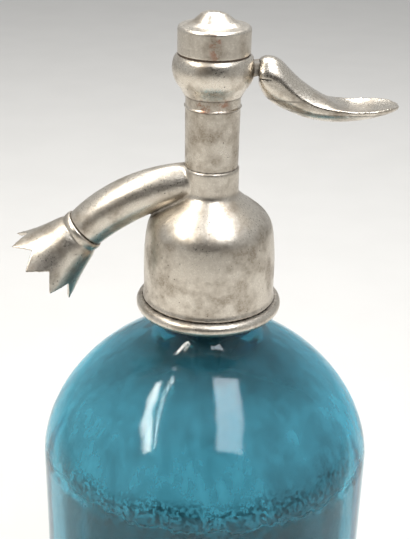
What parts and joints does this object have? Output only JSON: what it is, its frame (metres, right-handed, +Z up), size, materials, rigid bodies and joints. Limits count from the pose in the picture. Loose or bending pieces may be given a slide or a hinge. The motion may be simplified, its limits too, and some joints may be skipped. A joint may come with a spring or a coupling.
{
  "type": "soda siphon",
  "caption": "Glass soda siphon bottle with a screwed metal head, side lever, spring-closed valve and a bent spout ending in a toothed crown.",
  "frame": {"origin": "centre of the bottle's foot, on the plane that it stands on", "axes": "+Z up along the bottle's axis, +X from the axis to the lever's free end, -X to the spout, right-handed"},
  "size_m": [0.1156, 0.108, 0.309],
  "materials": {
    "bottle": "thick teal siphon glass",
    "dip_tube": "clear glass tube",
    "neck_collar": "worn plated brass",
    "split_ring_front": "bare brass",
    "split_ring_back": "bare brass",
    "tube_gasket": "soft rubber",
    "head_gasket": "soft rubber",
    "bell": "worn plated pewter casting",
    "valve_seat_ring": "bare brass",
    "spout_crown": "worn plated pewter casting",
    "column": "worn plated brass",
    "packing_ring": "greased packing",
    "gland_nut": "bare brass",
    "lever_housing": "worn plated pewter casting",
    "lever_pin": "steel pin",
    "cap_gasket": "dark fibre washer",
    "cap": "worn plated pewter casting",
    "piston_rod": "bare brass",
    "valve_disc": "soft rubber",
    "valve_screw": "bare brass",
    "piston_yoke": "bare brass",
    "return_spring": "spring wire",
    "lever_core": "steel core",
    "lever_handle": "worn plated pewter casting"
  },
  "bodies": {
    "siphon": {"bottle": "bottle", "dip_tube": "dip_tube", "neck_collar": "neck_collar", "split_ring_front": "split_ring_front", "split_ring_back": "split_ring_back", "tube_gasket": "tube_gasket", "head_gasket": "head_gasket", "bell": "bell", "valve_seat_ring": "valve_seat_ring", "spout_crown": "spout_crown", "column": "column", "packing_ring": "packing_ring", "gland_nut": "gland_nut", "lever_housing": "lever_housing", "lever_pin": "lever_pin", "cap_gasket": "cap_gasket", "cap": "cap", "return_spring": "return_spring"},
    "piston": {"piston_rod": "piston_rod", "valve_disc": "valve_disc", "valve_screw": "valve_screw", "piston_yoke": "piston_yoke"},
    "lever": {"lever_core": "lever_core", "lever_handle": "lever_handle"}
  },
  "joints": [
    {"name": "lever_hinge", "type": "hinge", "parent": "siphon", "child": "lever", "pos_m": [0.0092, 0, 0.292], "axis": [0, 1, 0], "range_deg": [0, 18]},
    {"name": "piston_slide", "type": "slide", "parent": "siphon", "child": "piston", "axis": [0, 0, 1], "range_m": [0, 0.0028], "stiffness_N_per_m": 150, "springref_m": -0.006, "deforming": ["return_spring"]}
  ],
  "couplings": [
    {"joint": "lever_hinge", "follows": "piston_slide", "rad_per_m": 112.2}
  ]
}
